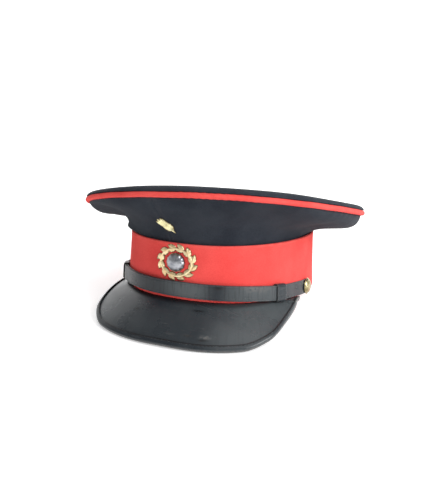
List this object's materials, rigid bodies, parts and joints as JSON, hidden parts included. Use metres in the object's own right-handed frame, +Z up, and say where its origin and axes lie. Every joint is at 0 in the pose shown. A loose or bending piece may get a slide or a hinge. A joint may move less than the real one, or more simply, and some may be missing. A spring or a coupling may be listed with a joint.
{
  "type": "peaked cap",
  "caption": "Wide-crowned peaked cap with a red band and rim piping, a drooping patent leather peak, a chin strap on domed buttons and a plain leaf badge.",
  "frame": {"origin": "on the resting surface, under the middle of the cap's box", "axes": "+Z up from the resting surface, -Y towards the peak, +X towards the wearer's left"},
  "size_m": [0.254, 0.2706, 0.126],
  "materials": {
    "dark_wool": "matt milled wool",
    "red_wool": "matt milled wool",
    "patent_leather": "worn patent gloss",
    "gilt": "worn gilt",
    "silver": "dull silver"
  },
  "bodies": {
    "root": {"crown_top": "dark_wool", "crown_piping": "red_wool", "quarter_front_left": "dark_wool", "quarter_front_right": "dark_wool", "quarter_back_left": "dark_wool", "quarter_back_right": "dark_wool", "band": "red_wool", "peak": "patent_leather", "peak_binding": "patent_leather", "strap_outer": "patent_leather", "strap_inner": "patent_leather", "keeper_left": "patent_leather", "keeper_right": "patent_leather", "button_left": "gilt", "button_right": "gilt", "badge_garland": "gilt", "badge_boss": "silver", "badge_sprig": "gilt"}
  },
  "joints": []
}
